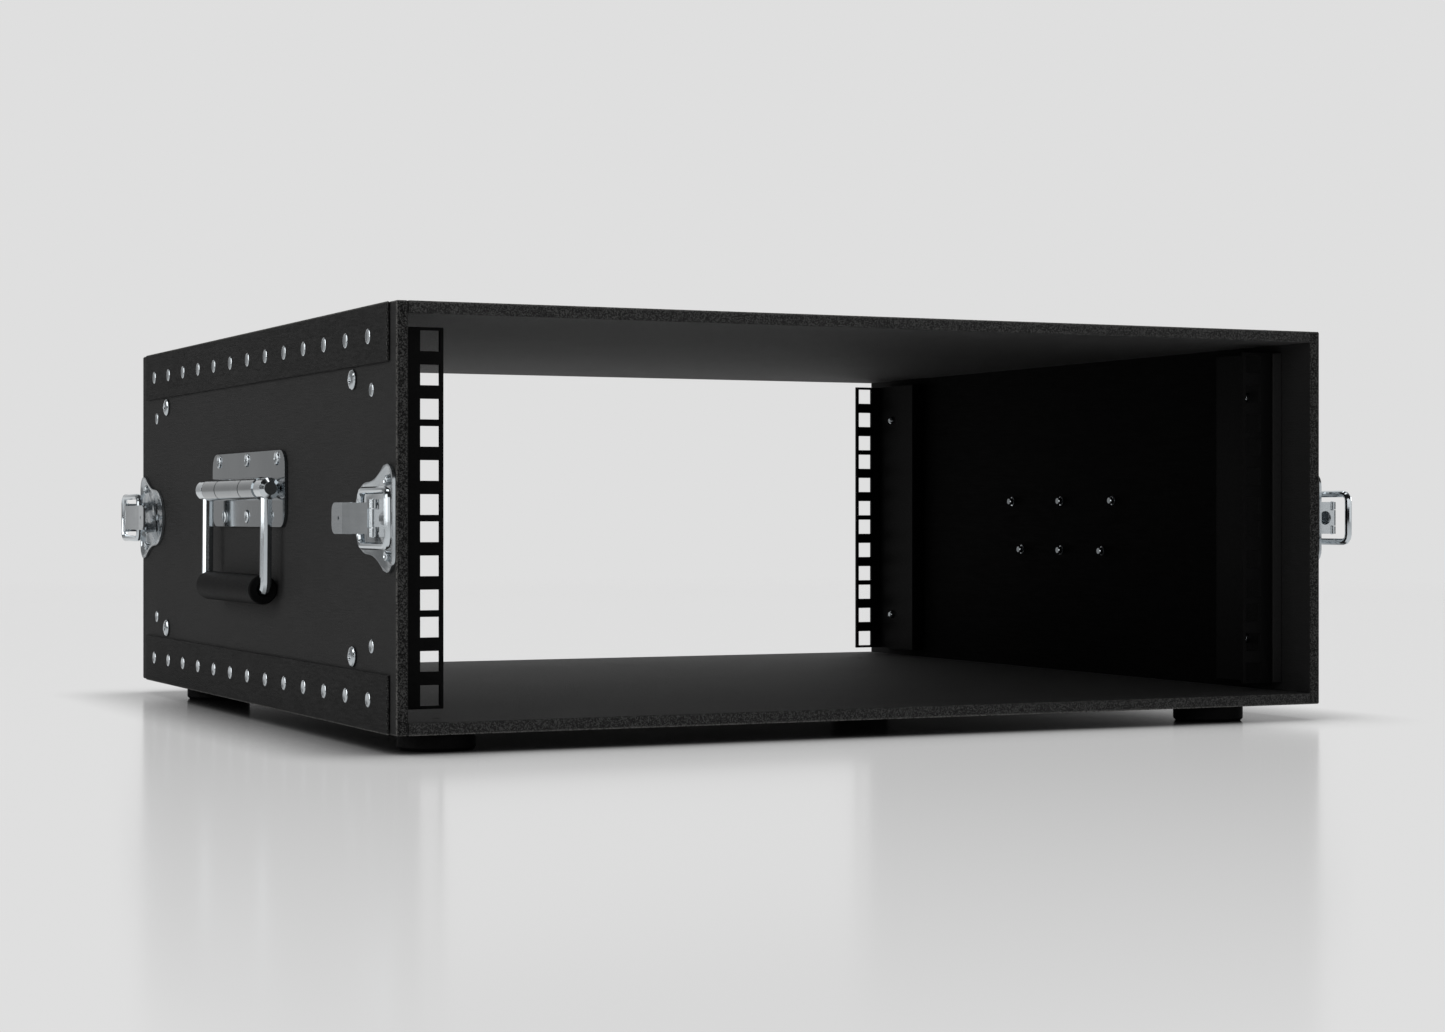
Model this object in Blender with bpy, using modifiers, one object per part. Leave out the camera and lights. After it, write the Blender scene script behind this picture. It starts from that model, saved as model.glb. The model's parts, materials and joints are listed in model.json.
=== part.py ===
"""Open-ended 4U rack case with two bail handles and four draw latches.

Units are metres.  X runs left to right, Y front to back, Z up; the origin is on the floor
under the middle of the case.  Every part is placed from a few driving sizes below.
"""

import math

import bmesh
import bpy
from mathutils import Matrix, Vector

# Shell
SHELL_WIDTH = 0.5145
SHELL_DEPTH = 0.4955
SHELL_HEIGHT = 0.1982
WALL = 0.0058
FOOT_HEIGHT = 0.0086
GAP = 0.0003
PANEL_GAP = 0.0002
ROOT = 0.0004
CUT_LENGTH = 0.05
WELD = 1e-7
EDGE_ROUND = 0.0006
HALF_W = SHELL_WIDTH / 2
HALF_D = SHELL_DEPTH / 2
SHELL_BOTTOM = FOOT_HEIGHT
SHELL_TOP = SHELL_BOTTOM + SHELL_HEIGHT
MID_Z = (SHELL_BOTTOM + SHELL_TOP) / 2

# Riveted edge strips
STRIP_THICKNESS = 0.0014
STRIP_HEIGHT = 0.0275
STRIP_FRONT_INSET = 0.0088
STRIP_REAR_INSET = 0.0150
STRIP_EDGE = 0.0004

# Rack rails, to the 19-inch equipment standard
RACK_UNIT = 0.04445
RACK_UNITS = 4
HOLE_OFFSETS = (0.00635, 0.022225, 0.0381)
HOLE_COLUMN = 0.46512 / 2
HOLE_SIZE = 0.0096
RAIL_LENGTH = RACK_UNITS * RACK_UNIT
RAIL_THICKNESS = 0.002
RAIL_RECESS = 0.0250
RAIL_LIP = 0.0066
RAIL_FLANGE = 0.0490
RAIL_BEND = 0.0016
SPACER_THICKNESS = 0.0056
SPACER_OUT = HALF_W - WALL - GAP
SPACER_IN = SPACER_OUT - SPACER_THICKNESS
RAIL_OUT = SPACER_IN - GAP
RAIL_IN = HOLE_COLUMN - RAIL_LIP

# Rail bolts; the left pair sits further from the case edge than the right pair
BOLT_RADIUS = 0.0024
BOLT_HOLE_RADIUS = 0.0028
BOLT_HEAD_RADIUS = 0.0050
BOLT_HEAD_HEIGHT = 0.0020
BOLT_SOCKET_RADIUS = 0.0019
BOLT_SOCKET_DEPTH = 0.0011
BOLT_RIM = 0.0007
BOLT_CROWN = 0.0006
BOLT_POINT = 0.0009
BOLT_TIP = 0.0024
BOLT_HEIGHT = 0.0657
BOLT_INSET = {"left": 0.0640, "right": 0.0460}

# Feet
FOOT_RADIUS = 0.0184
FOOT_CHAMFER = 0.0014
FOOT_POCKET_RADIUS = 0.0065
FOOT_POCKET_DEPTH = 0.0045
FOOT_POCKET_DRAFT = 0.0008
FOOT_X = {"left": -0.2290, "right": 0.2040}
FOOT_Y = {"front": -0.2215, "rear": 0.1740}
SCREW_RADIUS = 0.0019
SCREW_HOLE_RADIUS = 0.0023
SCREW_HEAD_RADIUS = 0.0042
SCREW_HEAD_HEIGHT = 0.0022
SCREW_RECESS_RADIUS = 0.0016
SCREW_RECESS_DEPTH = 0.0008
SCREW_CROWN = 0.0010
SCREW_STOP = 0.0006

# Handles
HANDLE_DROP = {"left": 0.0, "right": -0.0206}
PLATE_LENGTH = 0.1440
PLATE_BOTTOM = 0.0944
PLATE_TOP = 0.1341
PLATE_THICKNESS = 0.0015
PLATE_CORNER = 0.0085
HINGE_OUT = 0.0077
HINGE_HEIGHT = 0.1143
HINGE_PIN_RADIUS = 0.0025
HINGE_BORE_RADIUS = 0.0029
KNUCKLE_RADIUS = 0.0060
KNUCKLE_MIDDLE = 0.0232
KNUCKLE_START = 0.0244
KNUCKLE_END = 0.0508
WEB_INSET = 0.0002
WEB_HEIGHT = 0.0036
EYE_RADIUS = 0.0056
EYE_START = 0.0515
EYE_END = 0.0672
EYE_BORE_END = 0.0662
EYE_CHAMFER = 0.0022
PIN_END = 0.0658
PIN_CHAMFER = 0.0005
ROD_RADIUS = 0.0030
ROD_SPACING = 0.0590
GRIP_OUT = 0.0081
GRIP_HEIGHT = 0.0620
GRIP_RADIUS = 0.00775
GRIP_BORE_RADIUS = 0.0033
GRIP_HALF_LENGTH = 0.0545
GRIP_CHAMFER = 0.0007
ROD_BEND = 0.0042
ROD_TOP = 0.0010

# Latches: U is the distance out from the side panel, V the distance past the case edge
LATCH_NOSE = -0.0005
LATCH_TIP_V = -0.0088
LATCH_TIP_Z = 0.0249
LATCH_WAIST_V = -0.0380
LATCH_WAIST_Z = 0.0168
LATCH_REAR_V = -0.0575
LATCH_NOSE_Z = 0.0170
WING_ROOT_V = -0.0140
WING_ROOT_Z = 0.0241
WING_CURVE = 2.1
BASE_THICKNESS = 0.0014
BASE_RIM = 0.0015
BASE_SLOPE = 0.0012
BASE_DISH = 0.0009
SLOT_FRONT_V = -0.0373
SLOT_REAR_V = -0.0397
SLOT_START_Z = 0.0018
SLOT_END_Z = 0.0085
RIB_FRONT_V = -0.0345
RIB_REAR_V = -0.0450
RIB_HALF_WIDTH = 0.0012
RIB_TOP = 0.0022
UPSTAND_FRONT_V = -0.0008
UPSTAND_THICKNESS = 0.0012
UPSTAND_TOP = 0.0079
ARCH_U = 0.0044
ARCH_RADIUS = 0.0037
ARCH_FOOT_U = 0.0018
PIVOT_U = 0.0102
PIVOT_V = -0.0026
PIVOT_RADIUS = 0.0010
PIVOT_HOLE_RADIUS = 0.0013
BARREL_RADIUS = 0.0019
BARREL_HALF_MIDDLE = 0.0042
BARREL_START = 0.0045
LEAF_HALF_WIDTH = 0.0085
LEAF_LAP = 0.0010
LEVER_HALF_WIDTH = 0.0072
LEVER_TOP = 0.0121
LEVER_THICKNESS = 0.0012
LEVER_FRONT_V = -0.0049
LEVER_STEP_V = -0.0320
LEVER_END_V = -0.0570
CHEEK_THICKNESS = 0.0013
CHEEK_FRONT_V = -0.0052
CHEEK_REAR_V = -0.0300
CHEEK_FOOT_U = 0.0050
TONGUE_HALF_WIDTH = 0.00735
TONGUE_CORNER = 0.0042
TONGUE_LAP = 0.0004
TONGUE_RISE = 0.0010
TONGUE_DOT_V = -0.0475
TONGUE_DOT_RADIUS = 0.0010
DOT_REACH = 0.0030
LOOP_U = 0.0085
LOOP_RADIUS = 0.0018
LOOP_HOLE_RADIUS = 0.0021
LOOP_REAR_V = -0.0265
LOOP_FRONT_V = 0.0134
LOOP_HALF_HEIGHT = 0.0127
LOOP_CORNER = 0.0040

SIDES = {"left": -1.0, "right": 1.0}
ENDS = {"front": -1.0, "rear": 1.0}


def clear_scene():
    for obj in list(bpy.data.objects):
        bpy.data.objects.remove(obj, do_unlink=True)


def make_material(name, colour, roughness, metallic):
    material = bpy.data.materials.new(name)
    material.use_nodes = True
    shader = material.node_tree.nodes["Principled BSDF"]
    shader.inputs["Base Color"].default_value = (*colour, 1.0)
    shader.inputs["Roughness"].default_value = roughness
    shader.inputs["Metallic"].default_value = metallic
    material.diffuse_color = (*colour, 1.0)
    return material


def make_collection(name):
    collection = bpy.data.collections.new(name)
    bpy.context.scene.collection.children.link(collection)
    return collection


def finish_mesh(name, bm):
    bmesh.ops.recalc_face_normals(bm, faces=bm.faces)
    mesh = bpy.data.meshes.new(name)
    bm.to_mesh(mesh)
    bm.free()
    return mesh


def box_mesh(name, *boxes):
    """One mesh of separate boxes, each given by its low and high corner."""
    bm = bmesh.new()
    for low, high in boxes:
        low, high = Vector(low), Vector(high)
        size = high - low
        place = Matrix.Translation((low + high) / 2) @ Matrix.Diagonal((*size, 1.0))
        bmesh.ops.create_cube(bm, size=1.0, matrix=place)
    return finish_mesh(name, bm)


def lathe_mesh(name, profile, place, segments):
    """A closed profile of (radius, height) pairs spun about Z, then moved by place."""
    bm = bmesh.new()
    points = [bm.verts.new((radius, 0.0, height)) for radius, height in profile]
    edges = [bm.edges.new(pair) for pair in zip(points, points[1:] + points[:1])]
    bmesh.ops.spin(
        bm, geom=points + edges, cent=(0, 0, 0), axis=(0, 0, 1), dvec=(0, 0, 0),
        angle=2 * math.pi, steps=segments, use_merge=True, use_duplicate=False,
    )
    bmesh.ops.remove_doubles(bm, verts=bm.verts, dist=WELD)
    loose = [edge for edge in bm.edges if not edge.link_faces]
    bmesh.ops.delete(bm, geom=loose, context="EDGES")
    bmesh.ops.transform(bm, matrix=place, verts=bm.verts)
    return finish_mesh(name, bm)


def rod_profile(radius, start, end, chamfer=0.0):
    if chamfer == 0.0:
        return [(0.0, start), (radius, start), (radius, end), (0.0, end)]
    return [
        (0.0, start),
        (radius - chamfer, start),
        (radius, start + chamfer),
        (radius, end - chamfer),
        (radius - chamfer, end),
        (0.0, end),
    ]


def tube_profile(inner, outer, start, end, chamfer):
    return [
        (inner, start),
        (outer - chamfer, start),
        (outer, start + chamfer),
        (outer, end - chamfer),
        (outer - chamfer, end),
        (inner, end),
    ]


def extruded_mesh(name, outline, place, start, end):
    """A flat outline of (x, y) pairs raised from start to end along Z, then moved by place."""
    bm = bmesh.new()
    face = bm.faces.new([bm.verts.new((x, y, start)) for x, y in outline])
    raised = bmesh.ops.extrude_face_region(bm, geom=[face])["geom"]
    top = [item for item in raised if isinstance(item, bmesh.types.BMVert)]
    bmesh.ops.translate(bm, verts=top, vec=(0, 0, end - start))
    bmesh.ops.transform(bm, matrix=place, verts=bm.verts)
    return finish_mesh(name, bm)


def swept_mesh(name, path, radius, closed):
    """A round bar along a path, made as a bevelled curve."""
    curve = bpy.data.curves.new(name, "CURVE")
    curve.dimensions = "3D"
    curve.bevel_depth = radius
    curve.bevel_resolution = 3
    curve.use_fill_caps = not closed
    spline = curve.splines.new("POLY")
    spline.points.add(len(path) - 1)
    for point, place in zip(spline.points, path):
        point.co = (*place, 1.0)
    spline.use_cyclic_u = closed
    helper = bpy.data.objects.new(name, curve)
    bpy.context.scene.collection.objects.link(helper)
    bpy.context.view_layer.update()
    mesh = bpy.data.meshes.new_from_object(helper)
    bpy.data.objects.remove(helper)
    bm = bmesh.new()
    bm.from_mesh(mesh)
    bmesh.ops.remove_doubles(bm, verts=bm.verts, dist=WELD)
    return finish_mesh(name, bm)


def arc(centre, radius, start, end, steps):
    """Points on an arc, from start to end degrees."""
    angles = [math.radians(start + (end - start) * i / steps) for i in range(steps + 1)]
    return [(centre[0] + radius * math.cos(a), centre[1] + radius * math.sin(a)) for a in angles]


def rounded_rectangle(low, high, radius, steps):
    corners = (
        ((high[0] - radius, high[1] - radius), 0),
        ((low[0] + radius, high[1] - radius), 90),
        ((low[0] + radius, low[1] + radius), 180),
        ((high[0] - radius, low[1] + radius), 270),
    )
    outline = []
    for centre, start in corners:
        outline += arc(centre, radius, start, start + 90, steps)
    return outline


# Frames that turn a local Z axis along world X or Y
ALONG_X = Matrix.Rotation(math.pi / 2, 4, "Y")
ALONG_Y = Matrix.Rotation(-math.pi / 2, 4, "X")
# Local (x, y, z) to (z, x, y): an outline in the Y-Z plane raised along X
FACING_X = Matrix(((0, 0, 1, 0), (1, 0, 0, 0), (0, 1, 0, 0), (0, 0, 0, 1)))


class Builder:
    """Puts solids in the case's collection and their cutters in a hidden one."""

    def __init__(self, main, tools):
        self.main = main
        self.tools = tools

    def solid(self, name, mesh, material, place=None, origin=None, steps=(), bevel=0.0):
        """One part: a base mesh, then Boolean steps of (operation, mesh)."""
        place = place or Matrix.Identity(4)
        origin = Vector(origin) if origin else Vector((0, 0, 0))
        base = self.add(name, mesh, place, origin, self.main)
        base.data.materials.append(material)
        if bevel:
            modifier = base.modifiers.new("edge", "BEVEL")
            modifier.width = bevel
            modifier.segments = 1
            modifier.limit_method = "ANGLE"
            modifier.angle_limit = math.radians(50)
        for index, (operation, tool_mesh) in enumerate(steps):
            tool = self.add(f"{name}_tool{index}", tool_mesh, place, Vector((0, 0, 0)), self.tools)
            tool.hide_render = True
            tool.display_type = "WIRE"
            modifier = base.modifiers.new(f"{operation.lower()}{index}", "BOOLEAN")
            modifier.operation = operation
            modifier.solver = "EXACT"
            modifier.object = tool
        return base

    @staticmethod
    def add(name, mesh, place, origin, collection):
        mesh = mesh.copy()
        mesh.transform(Matrix.Translation(-origin) @ place)
        if place.determinant() < 0:
            mesh.flip_normals()
        obj = bpy.data.objects.new(name, mesh)
        obj.location = origin
        collection.objects.link(obj)
        return obj


def quadrant(side, end):
    """Mirrors a shape drawn at the rear right onto any of the four corners."""
    return Matrix.Diagonal((side, end, 1.0, 1.0))


def bolt_holes(name):
    """Cutters for the rail bolts of one side, drawn for the right."""
    bm = bmesh.new()
    for end in ENDS.values():
        for level in (-1, 1):
            centre = (HALF_W, end * (HALF_D - BOLT_INSET[name]), MID_Z + level * BOLT_HEIGHT)
            place = Matrix.Translation(centre) @ ALONG_X
            bmesh.ops.create_cone(
                bm, cap_ends=True, segments=14, radius1=BOLT_HOLE_RADIUS,
                radius2=BOLT_HOLE_RADIUS, depth=CUT_LENGTH, matrix=place,
            )
    return finish_mesh(f"bolt_holes_{name}", bm)


def foot_screw_holes():
    bm = bmesh.new()
    for x in FOOT_X.values():
        for y in FOOT_Y.values():
            bmesh.ops.create_cone(
                bm, cap_ends=True, segments=12, radius1=SCREW_HOLE_RADIUS,
                radius2=SCREW_HOLE_RADIUS, depth=CUT_LENGTH, matrix=Matrix.Translation((x, y, SHELL_BOTTOM)),
            )
    return finish_mesh("foot_screw_holes", bm)


def build_shell(build, laminate):
    inner = HALF_W - WALL - PANEL_GAP
    levels = {
        "bottom": (SHELL_BOTTOM, SHELL_BOTTOM + WALL),
        "top": (SHELL_TOP - WALL, SHELL_TOP),
    }
    for name, (low, high) in levels.items():
        mesh = box_mesh(name, ((-inner, -HALF_D, low), (inner, HALF_D, high)))
        steps = [("DIFFERENCE", foot_screw_holes())] if name == "bottom" else []
        build.solid(f"panel_{name}", mesh, laminate, steps=steps)
    for name, side in SIDES.items():
        mesh = box_mesh(
            name, ((HALF_W - WALL, -HALF_D, SHELL_BOTTOM), (HALF_W, HALF_D, SHELL_TOP))
        )
        build.solid(
            f"panel_{name}", mesh, laminate, place=quadrant(side, 1),
            steps=[("DIFFERENCE", bolt_holes(name))], bevel=EDGE_ROUND,
        )


def build_strips(build, edging):
    levels = {
        "bottom": (SHELL_BOTTOM, SHELL_BOTTOM + STRIP_HEIGHT),
        "top": (SHELL_TOP - STRIP_HEIGHT, SHELL_TOP),
    }
    out = HALF_W + GAP
    for level, (low, high) in levels.items():
        for name, side in SIDES.items():
            corner = (out, -HALF_D + STRIP_FRONT_INSET, low)
            far = (out + STRIP_THICKNESS, HALF_D - STRIP_REAR_INSET, high)
            mesh = box_mesh(level, (corner, far))
            build.solid(
                f"strip_{level}_{name}", mesh, edging, place=quadrant(side, 1), bevel=STRIP_EDGE
            )


def rail_outline():
    """The L section at the rear right, in X and Y, with a small bend radius."""
    face = HALF_D - RAIL_RECESS
    bend = arc((RAIL_OUT - RAIL_BEND, face - RAIL_BEND), RAIL_BEND, 0, 90, 4)
    outline = [(RAIL_OUT, face - RAIL_FLANGE), *bend, (RAIL_IN, face)]
    outline += [(RAIL_IN, face - RAIL_THICKNESS)]
    outline += [(RAIL_OUT - RAIL_THICKNESS, face - RAIL_THICKNESS)]
    outline += [(RAIL_OUT - RAIL_THICKNESS, face - RAIL_FLANGE)]
    return outline


def rail_holes():
    """Square holes at the standard rack pitch."""
    half = HOLE_SIZE / 2
    face = HALF_D - RAIL_RECESS
    base = MID_Z - RAIL_LENGTH / 2
    boxes = []
    for unit in range(RACK_UNITS):
        for offset in HOLE_OFFSETS:
            height = base + unit * RACK_UNIT + offset
            low = (HOLE_COLUMN - half, face - 2 * RAIL_THICKNESS, height - half)
            high = (HOLE_COLUMN + half, face + RAIL_THICKNESS, height + half)
            boxes.append((low, high))
    return box_mesh("rail_holes", *boxes)


def build_rails(build, steel, laminate):
    low = MID_Z - RAIL_LENGTH / 2
    high = MID_Z + RAIL_LENGTH / 2
    face = HALF_D - RAIL_RECESS
    for name, side in SIDES.items():
        for end_name, end in ENDS.items():
            place = quadrant(side, end)
            rail = extruded_mesh("rail", rail_outline(), Matrix.Identity(4), low, high)
            steps = [("DIFFERENCE", rail_holes()), ("DIFFERENCE", bolt_holes(name))]
            build.solid(f"rail_{end_name}_{name}", rail, steel, place=place, steps=steps)
            spacer = box_mesh(
                "spacer", ((SPACER_IN, face - RAIL_FLANGE, low), (SPACER_OUT, face, high))
            )
            build.solid(
                f"spacer_{end_name}_{name}", spacer, laminate, place=place,
                steps=[("DIFFERENCE", bolt_holes(name))],
            )


def bolt_mesh():
    """A rail bolt along Z, its head at the top; zero is the outer face of the side panel."""
    head = BOLT_HEAD_RADIUS
    under = GAP
    top = under + BOLT_HEAD_HEIGHT
    crown = BOLT_SOCKET_RADIUS + BOLT_CROWN
    tip = RAIL_OUT - RAIL_THICKNESS - BOLT_TIP - HALF_W
    profile = [
        (0.0, tip),
        (BOLT_RADIUS - BOLT_POINT, tip),
        (BOLT_RADIUS, tip + BOLT_POINT),
        (BOLT_RADIUS, under),
        (head, under),
        (head, under + BOLT_RIM),
        (head - BOLT_RIM, top - BOLT_CROWN),
        (crown, top),
        (BOLT_SOCKET_RADIUS, top),
        (BOLT_SOCKET_RADIUS - ROOT, top - BOLT_SOCKET_DEPTH),
        (0.0, top - BOLT_SOCKET_DEPTH),
    ]
    return lathe_mesh("bolt", profile, ALONG_X, 18)


def build_bolts(build, zinc):
    for name, side in SIDES.items():
        for end_name, end in ENDS.items():
            for level_name, level in (("lower", -1), ("upper", 1)):
                y = end * (HALF_D - BOLT_INSET[name])
                z = MID_Z + level * BOLT_HEIGHT
                place = Matrix.Diagonal((side, 1, 1, 1)) @ Matrix.Translation((HALF_W, y, z))
                build.solid(f"bolt_{end_name}_{name}_{level_name}", bolt_mesh(), zinc, place=place)


def build_feet(build, rubber, zinc):
    top = SHELL_BOTTOM - GAP
    pocket = FOOT_POCKET_RADIUS
    profile = [
        (SCREW_HOLE_RADIUS, FOOT_POCKET_DEPTH),
        (pocket - FOOT_POCKET_DRAFT, FOOT_POCKET_DEPTH),
        (pocket, 0.0),
        (FOOT_RADIUS - FOOT_CHAMFER, 0.0),
        (FOOT_RADIUS, FOOT_CHAMFER),
        (FOOT_RADIUS, top),
        (SCREW_HOLE_RADIUS, top),
    ]
    head_top = FOOT_POCKET_DEPTH - GAP
    head_low = head_top - SCREW_HEAD_HEIGHT
    screw = [
        (0.0, head_low + SCREW_RECESS_DEPTH),
        (SCREW_RECESS_RADIUS - GAP, head_low + SCREW_RECESS_DEPTH),
        (SCREW_RECESS_RADIUS, head_low),
        (SCREW_HEAD_RADIUS - SCREW_CROWN, head_low),
        (SCREW_HEAD_RADIUS, head_low + SCREW_CROWN),
        (SCREW_HEAD_RADIUS, head_top),
        (SCREW_RADIUS, head_top),
        (SCREW_RADIUS, SHELL_BOTTOM + WALL - SCREW_STOP),
        (0.0, SHELL_BOTTOM + WALL - SCREW_STOP),
    ]
    for name, x in FOOT_X.items():
        for end_name, y in FOOT_Y.items():
            place = Matrix.Translation((x, y, 0))
            foot = lathe_mesh("foot", profile, place, 36)
            build.solid(f"foot_{end_name}_{name}", foot, rubber)
            build.solid(
                f"foot_screw_{end_name}_{name}", lathe_mesh("foot_screw", screw, place, 12), zinc
            )


def cylinder_y(name, radius, start, end, height, segments, out=HINGE_OUT):
    """A cylinder along Y at a distance out from the side panel, in the handle's frame."""
    place = Matrix.Translation((out, 0, height)) @ ALONG_Y
    return lathe_mesh(name, rod_profile(radius, start, end), place, segments)


def handle_plate_steps():
    steps = []
    spans = (
        (-KNUCKLE_END, -KNUCKLE_START),
        (-KNUCKLE_MIDDLE, KNUCKLE_MIDDLE),
        (KNUCKLE_START, KNUCKLE_END),
    )
    for start, end in spans:
        web = box_mesh(
            "web",
            (
                (GAP + ROOT, start + WEB_INSET, HINGE_HEIGHT),
                (HINGE_OUT, end - WEB_INSET, HINGE_HEIGHT + WEB_HEIGHT),
            ),
        )
        steps.append(("UNION", web))
        steps.append(("UNION", cylinder_y("knuckle", KNUCKLE_RADIUS, start, end, HINGE_HEIGHT, 20)))
    bore = cylinder_y("bore", HINGE_BORE_RADIUS, -PLATE_LENGTH, PLATE_LENGTH, HINGE_HEIGHT, 16)
    steps.append(("DIFFERENCE", bore))
    return steps


def bail_path():
    """The bent rod: down one arm, across inside the grip and up the other arm."""
    bend = ROD_BEND
    path = [(HINGE_OUT, -ROD_SPACING, HINGE_HEIGHT - ROD_TOP)]
    for y, start, end in ((-1, 180, 270), (1, 270, 360)):
        centre = (y * (ROD_SPACING - bend), GRIP_HEIGHT + bend)
        path += [(GRIP_OUT, py, pz) for py, pz in arc(centre, bend, start, end, 4)]
    path.append((HINGE_OUT, ROD_SPACING, HINGE_HEIGHT - ROD_TOP))
    return path


def build_handles(build, zinc, rubber):
    outline = rounded_rectangle(
        (-PLATE_LENGTH / 2, PLATE_BOTTOM), (PLATE_LENGTH / 2, PLATE_TOP), PLATE_CORNER, 6
    )
    for name, side in SIDES.items():
        drop = HANDLE_DROP[name]
        place = Matrix.Diagonal((side, 1, 1, 1)) @ Matrix.Translation((HALF_W, 0, FOOT_HEIGHT + drop))
        axis = (side * (HALF_W + HINGE_OUT), 0, FOOT_HEIGHT + drop + HINGE_HEIGHT)
        plate = extruded_mesh("plate", outline, FACING_X, GAP, GAP + PLATE_THICKNESS)
        build.solid(f"handle_plate_{name}", plate, zinc, place=place, steps=handle_plate_steps())
        pin_place = Matrix.Translation((HINGE_OUT, 0, HINGE_HEIGHT)) @ ALONG_Y
        pin = lathe_mesh("pin", rod_profile(HINGE_PIN_RADIUS, -PIN_END, PIN_END, PIN_CHAMFER), pin_place, 14)
        build.solid(f"handle_pin_{name}", pin, zinc, place=place)
        bail = swept_mesh("bail", bail_path(), ROD_RADIUS, False)
        steps = []
        for y in (-1, 1):
            low, high = sorted((y * EYE_START, y * EYE_END))
            eye = lathe_mesh(
                "eye", rod_profile(EYE_RADIUS, low, high, EYE_CHAMFER),
                Matrix.Translation((HINGE_OUT, 0, HINGE_HEIGHT)) @ ALONG_Y, 22,
            )
            steps.append(("UNION", eye))
        bore = cylinder_y("bore", HINGE_BORE_RADIUS, -EYE_BORE_END, EYE_BORE_END, HINGE_HEIGHT, 16)
        steps.append(("DIFFERENCE", bore))
        build.solid(f"handle_bail_{name}", bail, zinc, place=place, origin=axis, steps=steps)
        grip = lathe_mesh(
            "grip",
            tube_profile(
                GRIP_BORE_RADIUS, GRIP_RADIUS, -GRIP_HALF_LENGTH, GRIP_HALF_LENGTH, GRIP_CHAMFER
            ),
            Matrix.Translation((GRIP_OUT, 0, GRIP_HEIGHT)) @ ALONG_Y, 28,
        )
        build.solid(f"handle_grip_{name}", grip, rubber, place=place, origin=axis)


def base_outline():
    """The latch base in V and Z: straight nose, two flared wings, rounded rear."""
    upper = []
    for i in range(7):
        angle = math.radians(90 * i / 6)
        v = LATCH_TIP_V + (LATCH_NOSE - LATCH_TIP_V) * math.cos(angle)
        upper.append((v, LATCH_NOSE_Z + (LATCH_TIP_Z - LATCH_NOSE_Z) * math.sin(angle)))
    for i in range(7):
        share = 1 - i / 6
        v = LATCH_WAIST_V + (WING_ROOT_V - LATCH_WAIST_V) * share
        upper.append((v, LATCH_WAIST_Z + (WING_ROOT_Z - LATCH_WAIST_Z) * share**WING_CURVE))
    for i in range(1, 9):
        angle = math.radians(90 * i / 9)
        v = LATCH_WAIST_V - (LATCH_WAIST_V - LATCH_REAR_V) * math.sin(angle)
        upper.append((v, LATCH_WAIST_Z * math.cos(angle)))
    rear = [(LATCH_REAR_V, 0.0)]
    lower = [(v, -z) for v, z in reversed(upper)]
    return upper + rear + lower


def base_mesh():
    """The stamped base: a raised rim round a shallow dish."""
    mesh = extruded_mesh("base", base_outline(), FACING_X, GAP, GAP + BASE_THICKNESS)
    bm = bmesh.new()
    bm.from_mesh(mesh)
    top = max(bm.faces, key=lambda face: face.calc_center_median().x)
    bmesh.ops.inset_region(bm, faces=[top], thickness=BASE_RIM, depth=0.0, use_even_offset=True)
    bmesh.ops.inset_region(
        bm, faces=[top], thickness=BASE_SLOPE, depth=-BASE_DISH, use_even_offset=True
    )
    return finish_mesh("base", bm)


def base_slots():
    """Two slots behind the lever, one each side of a short rib."""
    far = GAP + 2 * BASE_THICKNESS
    boxes = []
    for level in (-1, 1):
        low, high = sorted((level * SLOT_START_Z, level * SLOT_END_Z))
        boxes.append(((-GAP, SLOT_REAR_V, low), (far, SLOT_FRONT_V, high)))
    return box_mesh("slots", *boxes)


def base_rib():
    return box_mesh(
        "rib", ((GAP + WEB_INSET, RIB_REAR_V, -RIB_HALF_WIDTH), (RIB_TOP, RIB_FRONT_V, RIB_HALF_WIDTH))
    )


def upstand_mesh():
    """The plate bent up from the base nose, with an arched opening and a web to the barrel."""
    half = LEAF_HALF_WIDTH
    web = BARREL_HALF_MIDDLE - WEB_INSET
    root = GAP + ROOT
    spread = math.degrees(math.asin((ARCH_U - ARCH_FOOT_U) / ARCH_RADIUS))
    arch = arc((0.0, ARCH_U), ARCH_RADIUS, 180 + spread, -spread, 12)
    outline = [(half, root), (half, UPSTAND_TOP), (web, UPSTAND_TOP), (web, PIVOT_U - 2 * GAP)]
    outline += [(-z, u) for z, u in reversed(outline)]
    outline += [(arch[0][0], root), *arch, (arch[-1][0], root)]
    # Local (x, y, z) to (U, V, Z): the outline holds (Z, U) and is raised along V
    upright = Matrix(((0, 1, 0, 0), (0, 0, 1, 0), (1, 0, 0, 0), (0, 0, 0, 1)))
    back = UPSTAND_FRONT_V - UPSTAND_THICKNESS
    return extruded_mesh("upstand", outline, upright, back, UPSTAND_FRONT_V)


def barrel_mesh(start, end):
    place = Matrix.Translation((PIVOT_U, PIVOT_V, 0))
    return lathe_mesh("barrel", rod_profile(BARREL_RADIUS, start, end), place, 16)


def cylinder_z(name, radius, centre, half_length, segments, chamfer=0.0):
    place = Matrix.Translation((centre[0], centre[1], 0))
    return lathe_mesh(name, rod_profile(radius, -half_length, half_length, chamfer), place, segments)


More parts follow.
